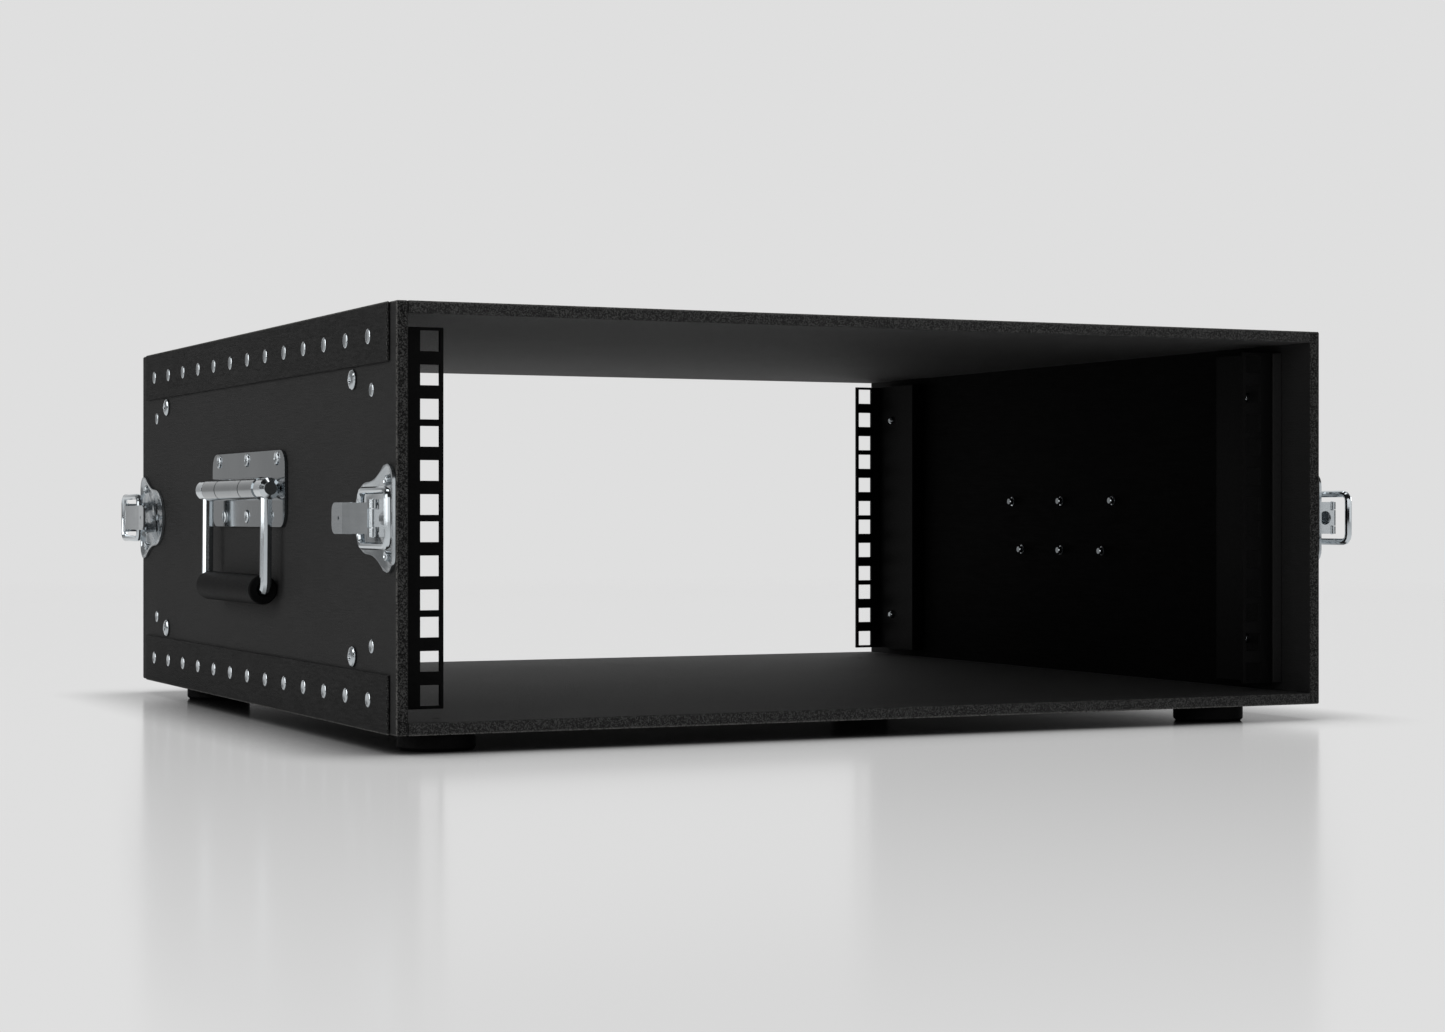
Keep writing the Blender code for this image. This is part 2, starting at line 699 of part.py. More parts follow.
def tongue_mesh():
    """The thumb tongue: rounded end, lifted a little away from the case."""
    corners = rounded_rectangle(
        (LEVER_END_V, -TONGUE_HALF_WIDTH), (LEVER_STEP_V + 2 * TONGUE_CORNER, TONGUE_HALF_WIDTH),
        TONGUE_CORNER, 4,
    )
    start = LEVER_STEP_V + TONGUE_LAP
    outline = [(min(v, start), z) for v, z in corners]
    unique = [p for i, p in enumerate(outline) if p != outline[i - 1]]
    mesh = extruded_mesh("tongue", unique, FACING_X, LEVER_TOP - LEVER_THICKNESS, LEVER_TOP)
    for vertex in mesh.vertices:
        share = (LEVER_STEP_V - vertex.co.y) / (LEVER_STEP_V - LEVER_END_V)
        vertex.co.x += TONGUE_RISE * max(0.0, share)
    return mesh


def lever_steps():
    steps = [("UNION", tongue_mesh())]
    half = LEVER_HALF_WIDTH
    under = LEVER_TOP - LEVER_THICKNESS
    for level in (-1, 1):
        low, high = sorted((level * BARREL_START, level * LEAF_HALF_WIDTH))
        leaf = ((under, LEVER_FRONT_V - LEAF_LAP, low), (LEVER_TOP, PIVOT_V, high))
        steps.append(("UNION", box_mesh("leaf", leaf)))
        steps.append(("UNION", barrel_mesh(low, high)))
        low, high = sorted((level * (half - CHEEK_THICKNESS), level * half))
        cheek = ((CHEEK_FOOT_U, CHEEK_REAR_V, low), (under + LEVER_THICKNESS / 2, CHEEK_FRONT_V, high))
        steps.append(("UNION", box_mesh("cheek", cheek)))
    reach = 2 * LEAF_HALF_WIDTH
    steps.append(
        ("DIFFERENCE", cylinder_z("pivot_hole", PIVOT_HOLE_RADIUS, (PIVOT_U, PIVOT_V), reach, 12))
    )
    steps.append(
        ("DIFFERENCE", cylinder_z("loop_hole", LOOP_HOLE_RADIUS, (LOOP_U, LOOP_REAR_V), reach, 14))
    )
    dot = lathe_mesh(
        "dot", rod_profile(TONGUE_DOT_RADIUS, LEVER_TOP - DOT_REACH, LEVER_TOP + DOT_REACH),
        Matrix.Translation((0, TONGUE_DOT_V, 0)) @ ALONG_X, 10,
    )
    steps.append(("DIFFERENCE", dot))
    return steps


def loop_path():
    corners = rounded_rectangle(
        (LOOP_REAR_V, -LOOP_HALF_HEIGHT), (LOOP_FRONT_V, LOOP_HALF_HEIGHT), LOOP_CORNER, 3
    )
    return [(LOOP_U, v, z) for v, z in corners]


def build_latches(build, zinc):
    for name, side in SIDES.items():
        for end_name, end in ENDS.items():
            corner = (side * HALF_W, end * HALF_D, MID_Z)
            place = Matrix.Translation(corner) @ Matrix.Diagonal((side, end, 1, 1))
            pivot = place @ Vector((PIVOT_U, PIVOT_V, 0))
            loop_axis = place @ Vector((LOOP_U, LOOP_REAR_V, 0))
            tag = f"{end_name}_{name}"
            middle = BARREL_HALF_MIDDLE
            steps = [("UNION", upstand_mesh()), ("UNION", barrel_mesh(-middle, middle))]
            hole = cylinder_z("hole", PIVOT_HOLE_RADIUS, (PIVOT_U, PIVOT_V), 2 * LEAF_HALF_WIDTH, 12)
            steps += [("DIFFERENCE", hole), ("DIFFERENCE", base_slots()), ("UNION", base_rib())]
            build.solid(f"latch_base_{tag}", base_mesh(), zinc, place=place, steps=steps)
            low = (LEVER_TOP - LEVER_THICKNESS, LEVER_STEP_V, -LEVER_HALF_WIDTH)
            lever = box_mesh("lever", (low, (LEVER_TOP, LEVER_FRONT_V, LEVER_HALF_WIDTH)))
            build.solid(
                f"latch_lever_{tag}", lever, zinc, place=place, origin=pivot, steps=lever_steps()
            )
            pin_half = LEAF_HALF_WIDTH + GAP
            pin = cylinder_z("pin", PIVOT_RADIUS, (PIVOT_U, PIVOT_V), pin_half, 10, GAP)
            build.solid(f"latch_pin_{tag}", pin, zinc, place=place)
            loop = swept_mesh("loop", loop_path(), LOOP_RADIUS, True)
            build.solid(f"latch_loop_{tag}", loop, zinc, place=place, origin=loop_axis)


def main():
    clear_scene()
    build = Builder(make_collection("equipment_rack_case"), make_collection("cutters"))
    laminate = make_material("black_laminate", (0.035, 0.035, 0.036), 0.62, 0.0)
    edging = make_material("black_edging", (0.033, 0.033, 0.034), 0.58, 0.0)
    rail_steel = make_material("black_powder_coated_steel", (0.006, 0.006, 0.006), 0.45, 0.0)
    zinc = make_material("zinc_plated_steel", (0.62, 0.66, 0.70), 0.25, 1.0)
    rubber = make_material("black_rubber", (0.012, 0.012, 0.012), 0.7, 0.0)
    build_shell(build, laminate)
    build_strips(build, edging)
    build_rails(build, rail_steel, laminate)
    build_bolts(build, zinc)
    build_feet(build, rubber, zinc)
    build_handles(build, zinc, rubber)
    build_latches(build, zinc)


main()
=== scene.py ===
"""Finished look of an open-ended 4U rack case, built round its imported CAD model.

Units are metres and the frame is the CAD's: X left to right, Y front to back, Z up from the
floor.  Each CAD node is shown by a refined copy of its own mesh, with rounded edges and
smooth turned faces, and the fasteners that the CAD leaves out are added as pieces of their own.
"""

import json
import math

import bmesh
import bpy
from mathutils import Matrix, Vector


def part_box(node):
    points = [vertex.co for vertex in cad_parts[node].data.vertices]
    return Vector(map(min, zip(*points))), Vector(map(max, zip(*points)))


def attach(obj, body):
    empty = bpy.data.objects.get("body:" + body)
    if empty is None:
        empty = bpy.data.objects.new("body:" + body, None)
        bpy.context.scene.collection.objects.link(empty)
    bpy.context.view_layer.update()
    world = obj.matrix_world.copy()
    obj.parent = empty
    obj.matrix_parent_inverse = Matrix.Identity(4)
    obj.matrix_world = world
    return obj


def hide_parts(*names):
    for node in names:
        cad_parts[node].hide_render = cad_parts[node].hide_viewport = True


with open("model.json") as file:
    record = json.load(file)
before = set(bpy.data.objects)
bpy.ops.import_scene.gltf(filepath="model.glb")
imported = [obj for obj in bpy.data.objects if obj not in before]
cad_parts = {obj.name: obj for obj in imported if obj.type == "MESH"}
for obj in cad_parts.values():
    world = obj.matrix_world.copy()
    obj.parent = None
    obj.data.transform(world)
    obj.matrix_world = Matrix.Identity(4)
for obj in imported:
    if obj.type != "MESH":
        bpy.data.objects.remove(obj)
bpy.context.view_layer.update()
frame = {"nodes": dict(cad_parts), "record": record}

# Sizes read from the frame
panel_low, panel_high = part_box("panel_right")
strip_low, strip_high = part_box("strip_top_right")
HALF_W = panel_high.x
HALF_D = panel_high.y
INNER_X = panel_low.x
SHELL_BOTTOM = panel_low.z
SHELL_TOP = panel_high.z
MID_Z = (SHELL_BOTTOM + SHELL_TOP) / 2

SIDES = {"left": -1.0, "right": 1.0}
ENDS = {"front": -1.0, "rear": 1.0}

# Strip rivets
STRIP_RIVETS = 13
STRIP_RIVET_PITCH = 0.03515
STRIP_RIVET_EDGE = 0.0145
STRIP_RIVET_RADIUS = 0.0036
STRIP_RIVET_HEIGHT = 0.0004

# Small rivets near the corners of each side panel
CORNER_RIVET_Y = 0.2112
CORNER_RIVET_Z = 0.0598
CORNER_RIVET_RADIUS = 0.0033
CORNER_RIVET_HEIGHT = 0.00045

# Handle plate rivets, as heights above the lower edge of the plate
PLATE_RIVETS = ((0.0355, (-0.0575, 0.0, 0.0575)), (0.0054, (-0.046, 0.0, 0.046)))
PLATE_RIVET_RADIUS = 0.0036
PLATE_RIVET_HEIGHT = 0.0009
TAIL_RADIUS = 0.0021
TAIL_HEIGHT = 0.0032
TAIL_BRIM = 0.0006
TAIL_NECK = 0.0009
TAIL_ROUND = 0.0004
TAIL_BRIM_SHARE = 1.35
TAIL_END_SHARE = 0.84

# Latch base rivets: distance in from the case edge, and height from the middle
LATCH_RIVET_V = 0.0118
LATCH_RIVET_Z = 0.0172
LATCH_RIVET_RADIUS = 0.0025
LATCH_RIVET_HEIGHT = 0.0008

# Rivet heads: points as shares of the head's radius and height, from the brim to the bowl
RIM = ((1.0, 0.25), (0.96, 0.62), (0.89, 0.90), (0.80, 1.0), (0.71, 0.94))
BOWL = ((1.0, 0.74), (0.72, 0.54), (0.40, 0.42))
BOWL_RADIUS = 0.62
BOWL_FLOOR = 0.38
HOLE_EDGE = 0.40
HOLE_FLOOR = 0.06
HOLE_TAPER = 0.9
HEAD_SEGMENTS = 20
SMALL_HEAD_SEGMENTS = 18
TAIL_SEGMENTS = 14
SINK = 0.0002

# Faces that the rivet heads sit on, as distances out from the side panel, and their holes
PLATE_FACE = 0.0018
PLATE_RIVET_HOLE = 0.0008
LATCH_FACE = 0.0010
LATCH_RIVET_HOLE = 0.0005

# Refined copies: angles in degrees
WELD = 2e-6
FLAT_ANGLE = 0.6
SHARP_ANGLE = 28.0
TURNED_SHARP_ANGLE = 38.0

# First letters of a node's name, its material, the rounding of its edges and the rounding's steps
FAMILIES = (
    ("panel_top", "laminate_level", 0.0002, 2),
    ("panel_bottom", "laminate_level", 0.0002, 2),
    ("panel_", "laminate_side", 0.0002, 2),
    ("strip_", "edging", 0.0002, 2),
    ("rail_", "rail_powder_coat", 0.0003, 2),
    ("spacer_", "laminate_side", 0.0004, 2),
    ("bolt_", "zinc_turned", 0.0002, 2),
    ("foot_screw_", "zinc_turned", 0.0002, 2),
    ("foot_", "rubber_foot", 0.0004, 2),
    ("handle_plate_", "zinc_plate", 0.0003, 2),
    ("handle_pin_", "zinc_turned", 0.0002, 2),
    ("handle_bail_", "zinc_rod", 0.0014, 3),
    ("handle_grip_", "rubber_grip", 0.0006, 3),
    ("latch_base_", "zinc_latch", 0.0, 2),
    ("latch_lever_", "zinc_latch", 0.0002, 2),
    ("latch_pin_", "zinc_turned", 0.0001, 1),
    ("latch_loop_", "zinc_rod", 0.0, 1),
)

# Laminates: name, grain scale along each axis, dark and pale grey, specular level, relief, and
# the Y of the two cut ends.  Texture scales are in waves per metre, ranges in noise levels.
LAMINATES = (
    ("laminate_side", (420.0, 60.0, 1500.0), (0.021, 0.031), 0.03, 0.00016, (-HALF_D, HALF_D)),
    ("laminate_level", (620.0, 120.0, 620.0), (0.020, 0.056), 0.27, 0.00040, (-HALF_D, HALF_D)),
    ("edging", (300.0, 120.0, 900.0), (0.011, 0.024), 0.03, 0.00022, (strip_low.y, strip_high.y)),
)
PEBBLE_SCALE = 1250.0
PEBBLE_RELIEF = -0.8
FINE_SCALE = 2600.0
CLOUD_SCALE = 14.0
CLOUD_SHARE = 0.15
GRAIN_RANGE = (0.38, 0.62)
SPECKLE_SCALE = 1600.0
SPECKLE_RANGE = (0.44, 0.64)
CUT_START = 0.0010
CUT_FULL = 0.0007
CUT_DARK = (0.0080, 0.0080, 0.0080)
CUT_PALE = (0.064, 0.064, 0.063)
GLINT_SCALE = 1500.0
GLINT_RANGE = (0.60, 0.72)
GLINT_SHARE = 0.35
GLINT_COLOUR = (0.070, 0.070, 0.069)
# Pale line along the outer edges: a painted edge highlight, broken up by patchy wear
EDGE_WEAR_AND_HIGHLIGHT_WIDTH = 0.0009
EDGE_WEAR_AND_HIGHLIGHT_MARGIN = 0.0001
EDGE_WEAR_AND_HIGHLIGHT_SCALE = 1300.0
EDGE_WEAR_AND_HIGHLIGHT_RANGE = (0.42, 0.56)
EDGE_WEAR_AND_HIGHLIGHT_COLOUR = (0.170, 0.167, 0.161)
LAMINATE_ROUGHNESS = (0.55, 0.78)
ROUGHNESS_RANGE = (0.7, 1.3)

# Painted shade on the faces inside the side panels: dead black deep inside, painted lighter towards
# the open ends where light comes in
INSIDE_START = 0.0004
INSIDE_FULL = 0.0002
OPEN_END_START = 0.060
OPEN_END_FULL = 0.015
DEEP_INSIDE_SHADE = (0.0012, 0.0012, 0.0012)
OPEN_END_SHADE = (0.022, 0.022, 0.022)

# Powder coat of the rails
PEEL_SCALE = 900.0
PEEL_RELIEF = 0.00005
COAT_CLOUD_SCALE = 40.0
COAT_DARK = (0.0012, 0.0012, 0.0013)
COAT_PALE = (0.0030, 0.0030, 0.0031)
COAT_ROUGHNESS = (0.45, 0.60)
COAT_SPECULAR = 0.06
WIDE_RANGE = (0.3, 0.7)

# Zincs: name, roughness range, scale of the drawn lines along each axis, and brightness
ZINCS = (
    ("zinc_plate", (0.10, 0.15), (900.0, 60.0, 900.0), 0.32),
    ("zinc_latch", (0.16, 0.24), (900.0, 60.0, 900.0), 0.54),
    ("zinc_rod", (0.10, 0.15), (700.0, 700.0, 90.0), 0.70),
    ("zinc_turned", (0.10, 0.16), (600.0, 600.0, 600.0), 0.66),
)
ZINC_CLOUD_SCALE = 30.0
ZINC_DARK = (0.80, 0.86, 0.90)
ZINC_PALE = (0.94, 1.0, 1.04)
PIT_SCALE = 900.0
PIT_RANGE = (0.68, 0.82)
PIT_SHARE = 0.25
PIT_COLOUR = (0.16, 0.17, 0.18)
DRAWN_SHARE = 0.7
DRAWN_RANGE = (0.32, 0.68)
DRAWN_RELIEF = 0.000004
TONGUE_START = 0.0425
TONGUE_BLEND = 0.0004
TONGUE_SHARE = 0.6
TONGUE_COLOUR = (0.74, 0.78, 0.81)

# Rubbers: name, scale of the skin, and share of dust
RUBBERS = (("rubber_grip", 1400.0, 0.08), ("rubber_foot", 900.0, 0.15))
RUBBER_COLOUR = (0.0030, 0.0030, 0.0032)
DUST_COLOUR = (0.022, 0.022, 0.0215)
DUST_SCALE = 70.0
DUST_RANGE = (0.48, 0.75)
RUBBER_ROUGHNESS = (0.50, 0.68)
RUBBER_RELIEF = 0.00006
RUBBER_SPECULAR = 0.05

# Camera
CAMERA_PLACE = (-0.6500, -1.4380, 0.1087)
CAMERA_PITCH = 90.0
CAMERA_YAW = -25.04
CAMERA_LENS = 68.36
SENSOR_WIDTH = 36.0
CLIP_START = 0.01

# Studio: floor, surroundings and softboxes
PALE = 0.738
FLOOR_SIZE = 12.0
SHADOW_REACH = 0.06
SHADOW_POWER = 2.6
SHADOW_SAMPLES = 8
FLOOR_ROUGHNESS = 0.16
FLOOR_IOR = 1.05
FADE_START = 1.2
FADE_END = 3.5
FRONT_GLOW = 0.03
DEPTH_RANGE = (-0.25, 0.65)
DUSK_RANGE = (-0.40, 0.08)
DUSK_LEAST = 0.30
AIM = (0.0, 0.0, 0.1)

# Softboxes: name, place, width and height, and power in watts
SOFTBOXES = (
    ("left_softbox", (-2.4, 0.5, 0.95), (1.6, 1.9), 26),
    ("front_left_softbox", (-2.2, -1.5, 0.80), (1.5, 1.8), 14),
    ("front_fill", (-0.9, -2.6, 1.1), (1.2, 1.2), 5),
    ("front_right_card", (1.1, -2.5, 0.5), (2.4, 1.4), 9),
    ("top_softbox", (0.2, 0.3, 2.4), (1.8, 1.8), 22),
    ("right_softbox", (2.6, 0.6, 1.0), (1.0, 1.4), 12),
)


# ---------------------------------------------------------------- node helpers


class Nodes:
    """Short calls for building one material's node tree."""

    def __init__(self, name):
        self.material = bpy.data.materials.new(name)
        self.material.use_nodes = True
        self.tree = self.material.node_tree
        self.shader = self.tree.nodes["Principled BSDF"]
        self.place = self.add("ShaderNodeTexCoord").outputs["Object"]

    def add(self, kind, **settings):
        node = self.tree.nodes.new(kind)
        for key, value in settings.items():
            setattr(node, key, value)
        return node

    def link(self, source, target):
        self.tree.links.new(source, target)

    def put(self, socket, value):
        if isinstance(value, bpy.types.NodeSocket):
            self.link(value, socket)
        else:
            socket.default_value = value

    def math(self, operation, *values, clamp=False):
        node = self.add("ShaderNodeMath", operation=operation, use_clamp=clamp)
        for socket, value in zip(node.inputs, values):
            self.put(socket, value)
        return node.outputs[0]

    def axes(self):
        split = self.add("ShaderNodeSeparateXYZ")
        self.link(self.place, split.inputs[0])
        return split.outputs

    def stretched(self, scale):
        node = self.add("ShaderNodeMapping")
        self.link(self.place, node.inputs["Vector"])
        node.inputs["Scale"].default_value = scale
        return node.outputs[0]

    def noise(self, scale, detail=3.0, roughness=0.55, vector=None):
        node = self.add("ShaderNodeTexNoise")
        self.link(vector or self.place, node.inputs["Vector"])
        node.inputs["Scale"].default_value = scale
        node.inputs["Detail"].default_value = detail
        node.inputs["Roughness"].default_value = roughness
        return node.outputs["Fac"]

    def cells(self, scale):
        node = self.add("ShaderNodeTexVoronoi")
        self.link(self.place, node.inputs["Vector"])
        node.inputs["Scale"].default_value = scale
        return node.outputs["Distance"]

    def remap(self, value, low, high, new_low=0.0, new_high=1.0, smooth=False):
        node = self.add("ShaderNodeMapRange")
        node.interpolation_type = "SMOOTHSTEP" if smooth else "LINEAR"
        self.link(value, node.inputs["Value"])
        node.inputs["From Min"].default_value = low
        node.inputs["From Max"].default_value = high
        node.inputs["To Min"].default_value = new_low
        node.inputs["To Max"].default_value = new_high
        return node.outputs["Result"]

    def blend(self, share, first, second):
        node = self.add("ShaderNodeMix", data_type="RGBA")
        self.put(node.inputs["Factor"], share)
        colours = [socket for socket in node.inputs if socket.type == "RGBA"]
        for socket, value in zip(colours, (first, second)):
            self.put(socket, value if isinstance(value, bpy.types.NodeSocket) else (*value, 1.0))
        return next(socket for socket in node.outputs if socket.type == "RGBA")

    def bump(self, height, distance):
        node = self.add("ShaderNodeBump")
        self.link(height, node.inputs["Height"])
        node.inputs["Distance"].default_value = distance
        node.inputs["Strength"].default_value = 1.0
        return node.outputs["Normal"]

    def finish(self, colour, roughness, normal, metallic=0.0, specular=0.5):
        self.link(colour, self.shader.inputs["Base Color"])
        self.link(roughness, self.shader.inputs["Roughness"])
        self.link(normal, self.shader.inputs["Normal"])
        self.shader.inputs["Metallic"].default_value = metallic
        self.shader.inputs["Specular IOR Level"].default_value = specular
        return self.material


def outer_edge_mask(nodes):
    """One near the outer edges of the shell, where two of its outer faces meet."""
    x, y, z = nodes.axes()
    half_height = SHELL_TOP - MID_Z
    distances = (
        (nodes.math("ABSOLUTE", x), HALF_W),
        (nodes.math("ABSOLUTE", y), HALF_D),
        (nodes.math("ABSOLUTE", nodes.math("SUBTRACT", z, MID_Z)), half_height),
    )
    near = [nodes.remap(value, half - EDGE_WEAR_AND_HIGHLIGHT_WIDTH, half - EDGE_WEAR_AND_HIGHLIGHT_MARGIN) for value, half in distances]
    pairs = [nodes.math("MULTIPLY", near[i], near[j]) for i, j in ((0, 1), (0, 2), (1, 2))]
    return nodes.math("MAXIMUM", pairs[0], nodes.math("MAXIMUM", pairs[1], pairs[2]))


# ------------------------------------------------------------------- materials


def paint_inside_shade(nodes, end, colour):
    """Paints shade on the faces inside the side panels, dead black deep inside and lighter towards
    the open ends, but not on their cut ends.
    """
    x, y, _ = nodes.axes()
    inside = nodes.remap(nodes.math("ABSOLUTE", x), INNER_X + INSIDE_START, INNER_X + INSIDE_FULL)
    inner_shade = nodes.math("MULTIPLY", inside, nodes.math("SUBTRACT", 1.0, end))
    near = nodes.remap(nodes.math("ABSOLUTE", y), HALF_D - OPEN_END_START, HALF_D - OPEN_END_FULL)
    return nodes.blend(inner_shade, colour, nodes.blend(near, DEEP_INSIDE_SHADE, OPEN_END_SHADE))


def laminate_material(name, grain, greys, specular, relief_depth, ends):
    """Black textured laminate: pebbled skin with a directional grain and pale outer edges, painted
    as wear together with a painted edge highlight.

    The cut ends carry a coarser speckle.
    """
    nodes = Nodes(name)
    y = nodes.axes()[1]
    front = nodes.remap(y, ends[0] + CUT_START, ends[0] + CUT_FULL)
    rear = nodes.remap(y, ends[1] - CUT_START, ends[1] - CUT_FULL)
    end = nodes.math("MAXIMUM", front, rear)
    pebble = nodes.cells(PEBBLE_SCALE)
    fine = nodes.noise(FINE_SCALE, detail=2.0)
    streak = nodes.noise(1.0, detail=4.0, roughness=0.6, vector=nodes.stretched(grain))
    cloud = nodes.noise(CLOUD_SCALE, detail=5.0)
    cloudy = nodes.math("MULTIPLY", cloud, CLOUD_SHARE)
    tone = nodes.math("MULTIPLY_ADD", streak, 1.0 - CLOUD_SHARE, cloudy)
    dark, pale = ((grey, grey, grey) for grey in greys)
    base = nodes.blend(nodes.remap(tone, *GRAIN_RANGE), dark, pale)
    speckle = nodes.remap(nodes.noise(SPECKLE_SCALE, detail=1.0, roughness=0.6), *SPECKLE_RANGE)
    covered = nodes.blend(end, base, nodes.blend(speckle, CUT_DARK, CUT_PALE))
    glint = nodes.remap(nodes.noise(GLINT_SCALE, detail=2.0), *GLINT_RANGE, 0.0, GLINT_SHARE)
    lifted = nodes.blend(glint, covered, GLINT_COLOUR)
    # Painted edge highlight with patchy wear along the outer edges of the shell
    patchy = nodes.remap(nodes.noise(EDGE_WEAR_AND_HIGHLIGHT_SCALE, detail=3.0, roughness=0.7), *EDGE_WEAR_AND_HIGHLIGHT_RANGE)
    wear_and_highlight = nodes.math("MULTIPLY", outer_edge_mask(nodes), patchy, clamp=True)
    colour = nodes.blend(wear_and_highlight, lifted, EDGE_WEAR_AND_HIGHLIGHT_COLOUR)
    # Painted shade inside the side panels, lighter towards the open ends
    if name == "laminate_side":
        colour = paint_inside_shade(nodes, end, colour)
    uneven = nodes.math("ADD", fine, streak)
    roughness = nodes.remap(uneven, *ROUGHNESS_RANGE, *LAMINATE_ROUGHNESS)
    normal = nodes.bump(nodes.math("MULTIPLY_ADD", pebble, PEBBLE_RELIEF, uneven), relief_depth)
    return nodes.finish(colour, roughness, normal, specular=specular)


def coat_material():
    """Black powder coat with a light orange peel."""
    nodes = Nodes("rail_powder_coat")
    peel = nodes.noise(PEEL_SCALE, detail=2.0)
    colour = nodes.blend(nodes.noise(COAT_CLOUD_SCALE), COAT_DARK, COAT_PALE)
    roughness = nodes.remap(peel, *WIDE_RANGE, *COAT_ROUGHNESS)
    return nodes.finish(colour, roughness, nodes.bump(peel, PEEL_RELIEF), specular=COAT_SPECULAR)


def paler_tongue(nodes, colour):
    """Lifts the tone of a latch's thumb tongue, its part furthest in from the case edge."""
    depth = nodes.math("ABSOLUTE", nodes.axes()[1])
    start = HALF_D - TONGUE_START
    share = nodes.remap(depth, start + TONGUE_BLEND, start, 0.0, TONGUE_SHARE)
    return nodes.blend(share, colour, TONGUE_COLOUR)


def zinc_material(name, roughnesses, lines, brightness):
    """Bright zinc plate: smooth bluish steel with faint drawn lines and a few dull specks."""
    nodes = Nodes(name)
    cloud = nodes.noise(ZINC_CLOUD_SCALE)
    drawn = nodes.noise(1.0, vector=nodes.stretched(lines))
    pits = nodes.remap(nodes.noise(PIT_SCALE, detail=2.0), *PIT_RANGE)
    dark, pale = ([brightness * level for level in tint] for tint in (ZINC_DARK, ZINC_PALE))
    tint = nodes.blend(nodes.remap(cloud, *WIDE_RANGE), dark, pale)
    colour = nodes.blend(nodes.math("MULTIPLY", pits, PIT_SHARE), tint, PIT_COLOUR)
    if name == "zinc_latch":
        colour = paler_tongue(nodes, colour)
    cloudy = nodes.math("MULTIPLY", cloud, 1.0 - DRAWN_SHARE)
    uneven = nodes.math("MULTIPLY_ADD", drawn, DRAWN_SHARE, cloudy)
    roughness = nodes.remap(uneven, *DRAWN_RANGE, *roughnesses)
    return nodes.finish(colour, roughness, nodes.bump(drawn, DRAWN_RELIEF), metallic=1.0)


def rubber_material(name, scale, dusty):
    """Matt black moulded rubber with a fine skin and a little dust."""
    nodes = Nodes(name)
    skin = nodes.noise(scale)
    dust = nodes.remap(nodes.noise(DUST_SCALE, detail=5.0, roughness=0.65), *DUST_RANGE, 0.0, dusty)
    colour = nodes.blend(dust, RUBBER_COLOUR, DUST_COLOUR)
    roughness = nodes.remap(skin, *WIDE_RANGE, *RUBBER_ROUGHNESS)
    normal = nodes.bump(skin, RUBBER_RELIEF)
    return nodes.finish(colour, roughness, normal, specular=RUBBER_SPECULAR)


def make_materials():
    """Every material of the object, by the name that FAMILIES knows it by."""
    made = {"rail_powder_coat": coat_material()}
    recipes = (
        (laminate_material, LAMINATES),
        (zinc_material, ZINCS),
        (rubber_material, RUBBERS),
    )
    for recipe, rows in recipes:
        made.update({row[0]: recipe(*row) for row in rows})
    return made


# --------------------------------------------------------------------- meshing


def refined_copy(node, material, body, bevel, segments):
    """Shows a CAD node as a copy of its mesh, welded, with its edges rounded and shaded smooth."""
    source = frame["nodes"][node]
    mesh = bpy.data.meshes.new(f"{node}_skin")
    bm = bmesh.new()
    bm.from_mesh(source.data)
    bmesh.ops.remove_doubles(bm, verts=bm.verts, dist=WELD)
    bmesh.ops.dissolve_limit(
        bm, angle_limit=math.radians(FLAT_ANGLE), verts=bm.verts, edges=bm.edges, delimit={"NORMAL"}
    )
    bm.to_mesh(mesh)
    bm.free()
    mesh.materials.clear()
    mesh.materials.append(material)
    piece = bpy.data.objects.new(f"{node}_skin", mesh)
    bpy.context.scene.collection.objects.link(piece)
    if bevel:
        modifier = piece.modifiers.new("rounded", "BEVEL")
        modifier.width = bevel
        modifier.segments = segments
        modifier.limit_method = "ANGLE"
        modifier.angle_limit = math.radians(SHARP_ANGLE)
        modifier.use_clamp_overlap = True
        modifier.harden_normals = True
    for polygon in mesh.polygons:
        polygon.use_smooth = True
    mesh.set_sharp_from_angle(angle=math.radians(SHARP_ANGLE))
    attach(piece, body)
    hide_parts(node)


def turned(bm, profile, place, segments):
    """Adds a profile of (radius, height) pairs, turned about Z and moved by place."""
    rings = []
    for radius, height in profile:
        if radius == 0.0:
            rings.append([bm.verts.new(place @ Vector((0, 0, height)))])
            continue
        ring = []
        for i in range(segments):
            turn = 2 * math.pi * i / segments
            point = Vector((radius * math.cos(turn), radius * math.sin(turn), height))
            ring.append(bm.verts.new(place @ point))
        rings.append(ring)
    for first, second in zip(rings, rings[1:]):
        for i in range(segments):
            j = (i + 1) % segments
            corners = [first[i % len(first)], first[j % len(first)]]
            corners += [second[j % len(second)], second[i % len(second)]]
            unique = [v for k, v in enumerate(corners) if v not in corners[:k]]
            if len(unique) > 2:
                bm.faces.new(unique)


def rivet_row(name, profile, places, segments, material):
    """One piece of equal rivets at several places on the case."""
    bm = bmesh.new()
    for place in places:
        turned(bm, profile, place, segments)
    bmesh.ops.recalc_face_normals(bm, faces=bm.faces)
    mesh = bpy.data.meshes.new(name)
    bm.to_mesh(mesh)
    bm.free()
    for polygon in mesh.polygons:
        polygon.use_smooth = True
    mesh.set_sharp_from_angle(angle=math.radians(TURNED_SHARP_ANGLE))
    mesh.materials.append(material)
    piece = bpy.data.objects.new(name, mesh)
    bpy.context.scene.collection.objects.link(piece)
    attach(piece, "case")


def facing(side, x, y, z):
    """A frame at a point on a side, its Z axis pointing away from the middle of the case."""
    return Matrix.Translation((x, y, z)) @ Matrix.Rotation(side * math.pi / 2, 4, "Y")


